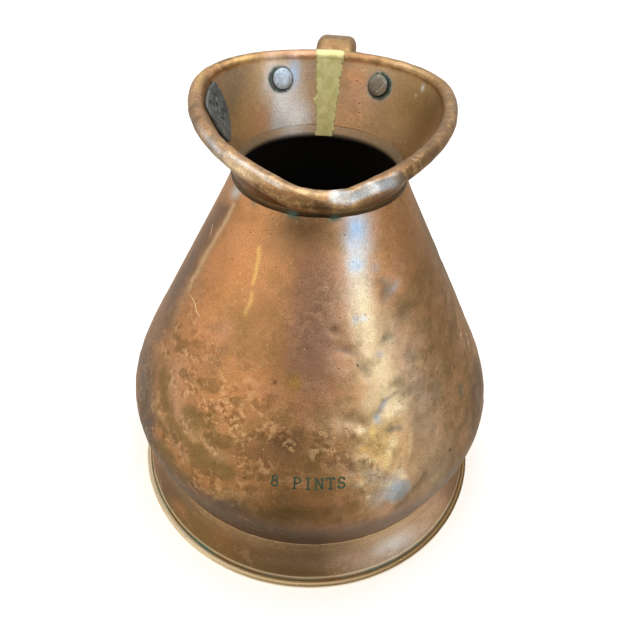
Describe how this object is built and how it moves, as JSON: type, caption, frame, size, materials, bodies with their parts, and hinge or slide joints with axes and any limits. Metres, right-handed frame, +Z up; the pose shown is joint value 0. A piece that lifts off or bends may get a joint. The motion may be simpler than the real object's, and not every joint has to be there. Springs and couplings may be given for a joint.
{
  "type": "copper haystack measure",
  "caption": "Round-bellied copper liquid measure with a straight cone, a spouted and wired collar, a flared foot and a strap-fixed back handle.",
  "frame": {"origin": "on the ground, under the middle of the foot ring", "axes": "+Z up, the spout points along -Y, the handle is at the back along +Y, +X is to the right seen from the spout"},
  "size_m": [0.2298, 0.2298, 0.2556],
  "materials": {
    "body_copper": "old copper, dented, with brown and olive patina",
    "foot_copper": "old copper, darker brown patina with verdigris in its groove",
    "collar_copper": "old copper, worn bright on its rolled edge",
    "handle_copper": "old copper, brown, rubbed on its upper side",
    "braze": "yellow-olive brazing metal with pits",
    "solder": "dull grey soft solder",
    "wire": "dark iron wire",
    "rivet": "copper rivet with a tinned grey head",
    "lead": null
  },
  "bodies": {
    "root": {"body": "body_copper", "body_seam_braze": "braze", "bottom": "foot_copper", "bottom_solder": "solder", "foot": "foot_copper", "foot_seam_braze": "braze", "foot_wire": "wire", "foot_solder": "solder", "collar": "collar_copper", "collar_seam_braze": "braze", "rim_wire": "wire", "neck_solder": "solder", "verification_seal": "lead", "handle": "handle_copper", "handle_seam_braze": "braze", "handle_upper_strap": "handle_copper", "handle_lower_shield": "handle_copper", "upper_rivet_left": "rivet", "upper_rivet_right": "rivet", "lower_rivet_left": "rivet", "lower_rivet_right": "rivet", "lower_rivet_bottom_left": "rivet", "lower_rivet_bottom_right": "rivet"}
  },
  "joints": []
}
